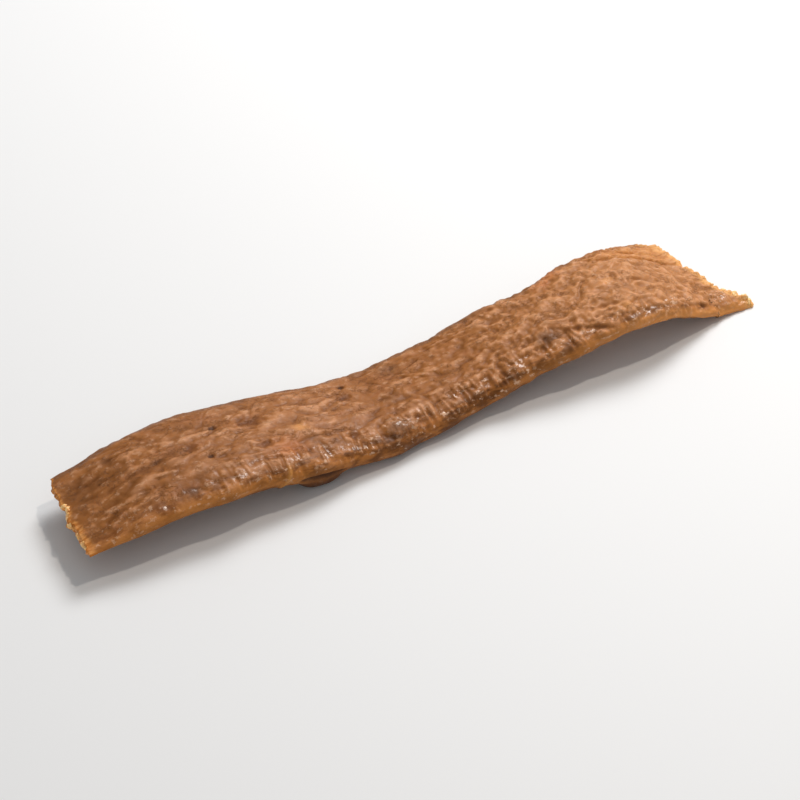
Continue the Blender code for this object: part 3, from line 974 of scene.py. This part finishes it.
def meat_brown(s, place):
    """The top's mottled brown: darker in hollows and paler, rosier on ridges, partly as painted shade and
    sheen.
    """
    ground = s.noise(place, 9 * MM, 5 * MM, detail=4)
    colour = s.mix(s.remap(ground, 0.36, 0.64), shade("brown"), shade("light_brown"))
    rosy = s.noise(place, 6 * MM, 3.5 * MM, detail=4)
    colour = s.mix(s.remap(rosy, 0.5, 0.7, 0, 0.28), colour, shade("rosy_brown"))
    mottle = s.noise(place, 1.2 * MM, 0.9 * MM, detail=4, roughness=0.6)
    tone = s.math("ADD", s.math("MULTIPLY", s.attribute("hollow"), 0.88), s.math("MULTIPLY", mottle, 0.12))
    # painted shade: the hollows darken as if shade fell in them, besides their own deeper amber
    colour = s.mix(s.remap(tone, 0.48, 0.86, 0, 0.7), colour, shade("hollow_shade_brown"))
    # painted sheen: the ridges turn paler and pinker as a broad highlight would, besides their own paler tone
    colour = s.mix(s.remap(tone, 0.52, 0.16, 0, 0.7), colour, shade("ridge"))
    brown = s.noise(place, 2.4 * MM, 1.8 * MM, detail=6, roughness=0.6)
    colour = s.mix(s.remap(brown, 0.5, 0.62, 0, 0.32), colour, shade("dark_brown"))
    # painted light: the right end and its hump turn paler, as if lit more
    colour = s.tint(colour, "right", 0.35, shade("painted_light_right"))
    # painted shade: the left end turns a little darker, partly as if it had less light
    colour = s.tint(colour, "left", 0.06, shade("painted_shade_left"))
    patches = s.noise(place, 3.6 * MM, 2.6 * MM, detail=3)
    return s.tint(colour, "left", s.remap(patches, 0.44, 0.6, 0, 0.4), shade("left_patch"))


def front_amber(s, place):
    """The front face's deep and light amber, less deep at the left end."""
    amber = s.noise(place, 4.4 * MM, 1.6 * MM, detail=5, roughness=0.6)
    deep = s.mix(s.attribute("left"), shade("deep_amber"), shade("deep_amber_left"))
    light = s.mix(s.attribute("left"), shade("light_amber"), shade("light_amber_left"))
    return s.mix(s.remap(amber, 0.39, 0.61), deep, light)


def streaky_gold(s, place):
    """The gold of torn meat, streaked along its grain."""
    streaks = s.noise(place, 3.0 * MM, 0.6 * MM, detail=4)
    return s.mix(s.remap(streaks, 0.42, 0.58), shade("deep_gold"), shade("bright_gold"))


def meat_colour(s, place, lines, flecks):
    """Brown meat with an amber front, golden torn ends, a darker underside and its marks."""
    colour = s.tint(meat_brown(s, place), "front", 0.75, front_amber(s, place))
    colour = s.tint(colour, "low", 0.4, shade("low_gold"))
    # painted shade in the fine wrinkles
    colour = s.tint(colour, lines, 0.26, shade("line"))
    # painted highlights: small pale flecks on the ridges
    colour = s.tint(colour, flecks, 0.24, shade("fleck_highlight"))
    # painted glints: pale specks along the damp shoulder, besides the coat's real ones
    glint_noise = s.noise(place, 1.2 * MM, 0.9 * MM, detail=3, roughness=0.6)
    colour = s.tint(colour, "wet", s.remap(glint_noise, 0.57, 0.65, 0, 0.62), shade("painted_glint"))
    # painted shade: the back edge is dulled where the key lamp catches it
    colour = s.tint(colour, "back", 0.6, shade("back"))

    gold = streaky_gold(s, place)
    colour = s.tint(colour, "fold", 0.35, gold)
    colour = s.tint(colour, "lip", 0.6, shade("lip"))
    colour = s.tint(colour, "torn", 0.85, gold)
    # the flap's tint is painted shadow, as the flap hangs in the front edge's shade
    # the rim's tint is partly its own pale colour and partly a painted glow of light through its thin edge
    for name, strength in (("rim", 0.85), ("fat", 0.7), ("under", 0.5), ("flap", 0.75)):
        colour = s.tint(colour, name, strength, shade(name))

    colour = s.mix(s.attribute("warm"), colour, shade("warm"))
    colour = s.mix(s.attribute("grey"), colour, shade("grey"))
    dark = s.attribute("dark")
    colour = s.mix(s.math("MAXIMUM", dark, 0.0), colour, shade("dark"))
    golden = s.math("MAXIMUM", s.math("MULTIPLY", dark, -1.0), 0.0)
    return s.mix(golden, colour, shade("golden"))


def meat_material():
    s = Shader("dried_chicken")
    place = s.grain_place()
    lines = broken_lines(s, place)
    flecks = painted_highlight_flecks(s, place)
    s.plug(meat_colour(s, place, lines, flecks), s.main.inputs["Base Color"])

    gloss = s.noise(place, 0.9 * MM, 0.8 * MM, detail=5, roughness=0.65)
    damp = s.math("MULTIPLY", s.attribute("wet"), s.remap(gloss, 0.48, 0.58))
    roughness = s.math("SUBTRACT", s.remap(gloss, 0.38, 0.62, 0.56, 0.4), s.math("MULTIPLY", damp, 0.2))
    s.plug(roughness, s.main.inputs["Roughness"])

    grains = s.noise(place, 0.7 * MM, 0.5 * MM, detail=5, roughness=0.65)
    normal = s.bump(grains, 0.05 * MM)
    normal = s.bump(s.math("SUBTRACT", flecks, s.math("MULTIPLY", lines, 2.0)), 0.03 * MM, after=normal)
    s.plug(normal, s.main.inputs["Normal"])

    s.plug(s.math("MULTIPLY", damp, 0.6), s.main.inputs["Coat Weight"])
    s.set_all(MEAT_FINISH)
    return s.material


def crumb_material():
    s = Shader("dried_chicken_crumbs")
    coordinates = s.tree.nodes.new("ShaderNodeTexCoord").outputs["Object"]
    patches = s.noise(coordinates, 1.2 * MM, 1.2 * MM, detail=4)
    colour = s.mix(s.remap(patches, 0.35, 0.65), shade("crumb"), shade("pale_crumb"))
    s.plug(colour, s.main.inputs["Base Color"])
    grains = s.noise(coordinates, 0.3 * MM, 0.3 * MM, detail=4)
    s.plug(s.remap(grains, 0.3, 0.7, 0.6, 0.4), s.main.inputs["Roughness"])
    s.plug(s.bump(grains, 0.08 * MM), s.main.inputs["Normal"])
    s.set_all(CRUMB_FINISH)
    return s.material


def lump():
    """Points and triangles of a unit ball, from an icosahedron split twice."""
    mesh = bpy.data.meshes.new("lump")
    work = bmesh.new()
    bmesh.ops.create_icosphere(work, subdivisions=3, radius=1)
    work.to_mesh(mesh)
    work.free()
    verts = np.array([v.co for v in mesh.vertices])
    faces = np.array([f.vertices for f in mesh.polygons])
    bpy.data.meshes.remove(mesh)
    return verts, faces


def crumb_places():
    """(ring, place across, share of the way down the cut, radius) of each crumb, in metres."""
    draw = np.random.default_rng(CRUMB_SEED)
    rows = [(0, across * MM, down, radius * MM) for across, down, radius in CRUMBS_LEFT]
    rows += [(RINGS - 1, across * MM, down, radius * MM) for across, down, radius in CRUMBS_TIP]
    count, front, back = CRUMBS_RIGHT
    for _ in range(count):
        radius = draw.uniform(CRUMB_SMALLEST, CRUMB_LARGEST)
        rows.append((RINGS - 1, draw.uniform(front, back) * MM, draw.uniform(*CRUMB_DOWN), radius))
    return rows


def make_crumbs(points):
    """Small rough crumbs that cling to the torn ends, as one mesh."""
    draw = np.random.default_rng(CRUMB_SEED)
    ball, triangles = lump()
    verts, faces = [], []
    for ring, across, down, radius in crumb_places():
        at = round((across / HALF_WIDTH + 1) / 2 * (TOP_POINTS - 1))
        upper, lower = points[ring, at], points[ring, -(at // 2) - 1]
        middle = upper + (lower - upper) * down
        size = radius * draw.uniform(*CRUMB_SQUASH, 3)
        rough = 1
        for fineness, depth in CRUMB_ROUGHNESS:
            rough = rough + depth * lattice_noise(fineness * ball + 7 * len(verts), CRUMB_SEED)
        faces.append(triangles + len(verts) * len(ball))
        crumb = middle + ball * rough[:, None] * size
        crumb[:, 2] = np.maximum(crumb[:, 2], 0)
        verts.append(crumb)
    mesh = bpy.data.meshes.new("torn_crumbs")
    mesh.from_pydata(np.concatenate(verts).tolist(), [], np.concatenate(faces).tolist())
    mesh.shade_smooth()
    mesh.materials.append(crumb_material())
    piece = bpy.data.objects.new("torn_crumbs", mesh)
    bpy.context.scene.collection.objects.link(piece)
    return piece


def floor_material():
    s = Shader("pale_floor")
    s.set_all({"Base Color": shade("floor"), "Roughness": FLOOR_ROUGHNESS})
    return s.material


def make_floor():
    mesh = bpy.data.meshes.new("floor")
    half = FLOOR_SIZE / 2
    corners = [(-half, -half, 0), (half, -half, 0), (half, half, 0), (-half, half, 0)]
    mesh.from_pydata(corners, [], [(0, 1, 2, 3)])
    mesh.materials.append(floor_material())
    floor = bpy.data.objects.new("floor", mesh)
    bpy.context.scene.collection.objects.link(floor)


def area_light(name, direction, distance, size, power, colour):
    """A square lamp that faces the strip from that direction."""
    light = bpy.data.lights.new(name, "AREA")
    light.shape = "SQUARE"
    light.size = size
    light.energy = power
    light.color = colour
    lamp = bpy.data.objects.new(name, light)
    lamp.location = Vector(direction).normalized() * distance
    lamp.rotation_euler = lamp.location.to_track_quat("Z", "Y").to_euler()
    bpy.context.scene.collection.objects.link(lamp)


def make_lights():
    for lamp in LAMPS:
        area_light(*lamp)
    world = bpy.data.worlds.new("studio")
    world.use_nodes = True
    world.node_tree.nodes["Background"].inputs["Color"].default_value = (1, 1, 1, 1)
    world.node_tree.nodes["Background"].inputs["Strength"].default_value = WORLD_STRENGTH
    bpy.context.scene.world = world


def make_camera():
    azimuth, elevation = math.radians(CAMERA_AZIMUTH), math.radians(CAMERA_ELEVATION)
    level = math.cos(elevation)
    back = Vector((math.sin(azimuth) * level, -math.cos(azimuth) * level, math.sin(elevation)))
    data = bpy.data.cameras.new("camera")
    data.lens = CAMERA_LENS
    data.sensor_width = CAMERA_SENSOR
    data.clip_start = CAMERA_NEAREST
    camera = bpy.data.objects.new("camera", data)
    camera.location = Vector(CAMERA_TARGET) + back * CAMERA_DISTANCE
    camera.rotation_euler = (math.pi / 2 - elevation, 0, azimuth)
    bpy.context.scene.collection.objects.link(camera)
    bpy.context.scene.camera = camera


def main():
    points, looks = skin()
    strip = build_mesh("jerky_skin", points, looks)
    strip.data.materials.append(meat_material())
    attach(strip, "root")
    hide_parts("jerky_strip")
    crumbs = make_crumbs(points)
    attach(crumbs, "root")
    make_floor()
    make_lights()
    make_camera()
    bpy.context.scene.view_settings.view_transform = "Standard"


main()
